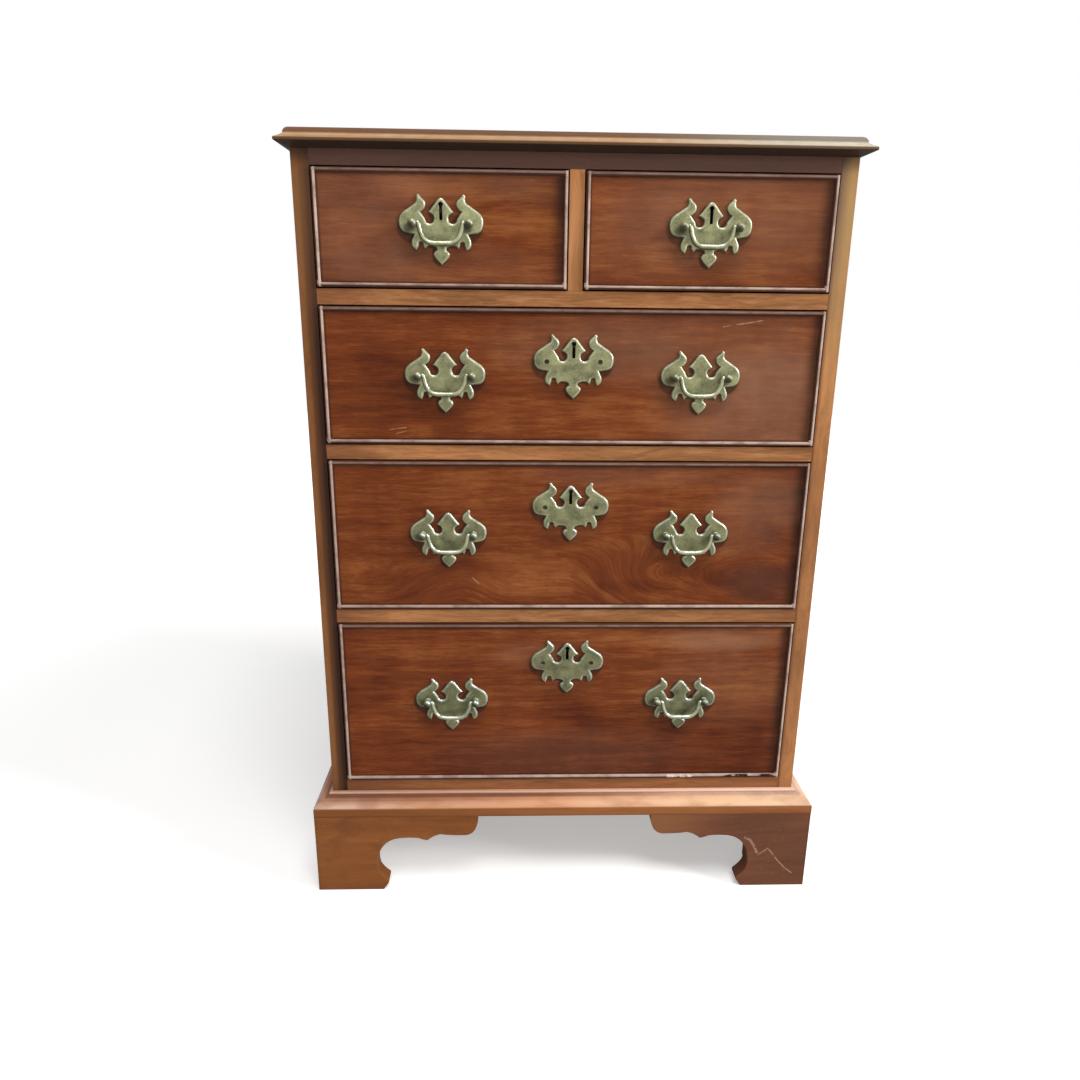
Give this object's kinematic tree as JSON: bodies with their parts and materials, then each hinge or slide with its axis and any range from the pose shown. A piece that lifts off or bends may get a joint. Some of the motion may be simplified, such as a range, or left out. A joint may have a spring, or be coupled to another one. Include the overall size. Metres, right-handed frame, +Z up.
{
  "type": "chest of drawers",
  "caption": "Narrow mahogany chest of small over long drawers, with a moulded top, bracket feet and pierced batwing brasses with swan-neck bails.",
  "frame": {"origin": "middle of the footprint on the floor", "axes": "+Z up, the drawers face -Y, +X to the right of someone facing them"},
  "size_m": [0.5444, 0.3782, 0.776],
  "materials": {
    "mahogany": "polished reddish mahogany",
    "pale_mahogany": "polished golden brown mahogany",
    "oak": "bare oak",
    "pine": "bare pine",
    "brass": "dull aged brass",
    "lock_iron": "dark worn iron"
  },
  "bodies": {
    "carcase": {"top_board": "mahogany", "left_side": "pale_mahogany", "right_side": "pale_mahogany", "back_panel": "pine", "bottom_board": "pale_mahogany", "top_rail": "mahogany", "upper_rail": "pale_mahogany", "middle_rail": "pale_mahogany", "lower_rail": "pale_mahogany", "muntin": "pale_mahogany", "drawer_guide": "pine", "base_frame": "pale_mahogany", "front_left_foot": "pale_mahogany", "front_right_foot": "pale_mahogany", "rear_left_foot": "pale_mahogany", "rear_right_foot": "pale_mahogany"},
    "top_left_drawer": {"top_left_drawer_front": "mahogany", "top_left_drawer_box": "oak", "top_left_drawer_bottom": "oak", "top_left_lock_case": "lock_iron", "top_left_handle_plate": "brass"},
    "top_left_handle_bail": {"top_left_handle_bail": "brass"},
    "top_left_lock_bolt": {"top_left_lock_bolt": "lock_iron"},
    "top_right_drawer": {"top_right_drawer_front": "mahogany", "top_right_drawer_box": "oak", "top_right_drawer_bottom": "oak", "top_right_lock_case": "lock_iron", "top_right_handle_plate": "brass"},
    "top_right_handle_bail": {"top_right_handle_bail": "brass"},
    "top_right_lock_bolt": {"top_right_lock_bolt": "lock_iron"},
    "upper_drawer": {"upper_drawer_front": "mahogany", "upper_drawer_box": "oak", "upper_drawer_bottom": "oak", "upper_lock_case": "lock_iron", "upper_left_handle_plate": "brass", "upper_right_handle_plate": "brass", "upper_escutcheon": "brass"},
    "upper_left_handle_bail": {"upper_left_handle_bail": "brass"},
    "upper_right_handle_bail": {"upper_right_handle_bail": "brass"},
    "upper_lock_bolt": {"upper_lock_bolt": "lock_iron"},
    "middle_drawer": {"middle_drawer_front": "mahogany", "middle_drawer_box": "oak", "middle_drawer_bottom": "oak", "middle_lock_case": "lock_iron", "middle_left_handle_plate": "brass", "middle_right_handle_plate": "brass", "middle_escutcheon": "brass"},
    "middle_left_handle_bail": {"middle_left_handle_bail": "brass"},
    "middle_right_handle_bail": {"middle_right_handle_bail": "brass"},
    "middle_lock_bolt": {"middle_lock_bolt": "lock_iron"},
    "lower_drawer": {"lower_drawer_front": "mahogany", "lower_drawer_box": "oak", "lower_drawer_bottom": "oak", "lower_lock_case": "lock_iron", "lower_left_handle_plate": "brass", "lower_right_handle_plate": "brass", "lower_escutcheon": "brass"},
    "lower_left_handle_bail": {"lower_left_handle_bail": "brass"},
    "lower_right_handle_bail": {"lower_right_handle_bail": "brass"},
    "lower_lock_bolt": {"lower_lock_bolt": "lock_iron"}
  },
  "joints": [
    {"name": "top_left_drawer_slide", "type": "slide", "parent": "carcase", "child": "top_left_drawer", "axis": [0, -1, 0], "range_m": [0, 0.27]},
    {"name": "top_left_handle_bail_hinge", "type": "hinge", "parent": "top_left_drawer", "child": "top_left_handle_bail", "pos_m": [-0.1225, -0.1795, 0.6979], "axis": [-1, 0, 0], "range_deg": [-14, 190]},
    {"name": "top_left_lock_bolt_slide", "type": "slide", "parent": "top_left_drawer", "child": "top_left_lock_bolt", "axis": [0, 0, 1], "range_m": [0, 0.007]},
    {"name": "top_right_drawer_slide", "type": "slide", "parent": "carcase", "child": "top_right_drawer", "axis": [0, -1, 0], "range_m": [0, 0.27]},
    {"name": "top_right_handle_bail_hinge", "type": "hinge", "parent": "top_right_drawer", "child": "top_right_handle_bail", "pos_m": [0.1225, -0.1795, 0.6979], "axis": [-1, 0, 0], "range_deg": [-14, 190]},
    {"name": "top_right_lock_bolt_slide", "type": "slide", "parent": "top_right_drawer", "child": "top_right_lock_bolt", "axis": [0, 0, 1], "range_m": [0, 0.007]},
    {"name": "upper_drawer_slide", "type": "slide", "parent": "carcase", "child": "upper_drawer", "axis": [0, -1, 0], "range_m": [0, 0.27]},
    {"name": "upper_left_handle_bail_hinge", "type": "hinge", "parent": "upper_drawer", "child": "upper_left_handle_bail", "pos_m": [-0.1218, -0.1795, 0.5634], "axis": [-1, 0, 0], "range_deg": [-14, 190]},
    {"name": "upper_right_handle_bail_hinge", "type": "hinge", "parent": "upper_drawer", "child": "upper_right_handle_bail", "pos_m": [0.1218, -0.1795, 0.5634], "axis": [-1, 0, 0], "range_deg": [-14, 190]},
    {"name": "upper_lock_bolt_slide", "type": "slide", "parent": "upper_drawer", "child": "upper_lock_bolt", "axis": [0, 0, 1], "range_m": [0, 0.007]},
    {"name": "middle_drawer_slide", "type": "slide", "parent": "carcase", "child": "middle_drawer", "axis": [0, -1, 0], "range_m": [0, 0.27]},
    {"name": "middle_left_handle_bail_hinge", "type": "hinge", "parent": "middle_drawer", "child": "middle_left_handle_bail", "pos_m": [-0.1218, -0.1795, 0.40745], "axis": [-1, 0, 0], "range_deg": [-14, 190]},
    {"name": "middle_right_handle_bail_hinge", "type": "hinge", "parent": "middle_drawer", "child": "middle_right_handle_bail", "pos_m": [0.1218, -0.1795, 0.40745], "axis": [-1, 0, 0], "range_deg": [-14, 190]},
    {"name": "middle_lock_bolt_slide", "type": "slide", "parent": "middle_drawer", "child": "middle_lock_bolt", "axis": [0, 0, 1], "range_m": [0, 0.007]},
    {"name": "lower_drawer_slide", "type": "slide", "parent": "carcase", "child": "lower_drawer", "axis": [0, -1, 0], "range_m": [0, 0.27]},
    {"name": "lower_left_handle_bail_hinge", "type": "hinge", "parent": "lower_drawer", "child": "lower_left_handle_bail", "pos_m": [-0.1218, -0.1795, 0.224], "axis": [-1, 0, 0], "range_deg": [-14, 190]},
    {"name": "lower_right_handle_bail_hinge", "type": "hinge", "parent": "lower_drawer", "child": "lower_right_handle_bail", "pos_m": [0.1218, -0.1795, 0.224], "axis": [-1, 0, 0], "range_deg": [-14, 190]},
    {"name": "lower_lock_bolt_slide", "type": "slide", "parent": "lower_drawer", "child": "lower_lock_bolt", "axis": [0, 0, 1], "range_m": [0, 0.007]}
  ]
}
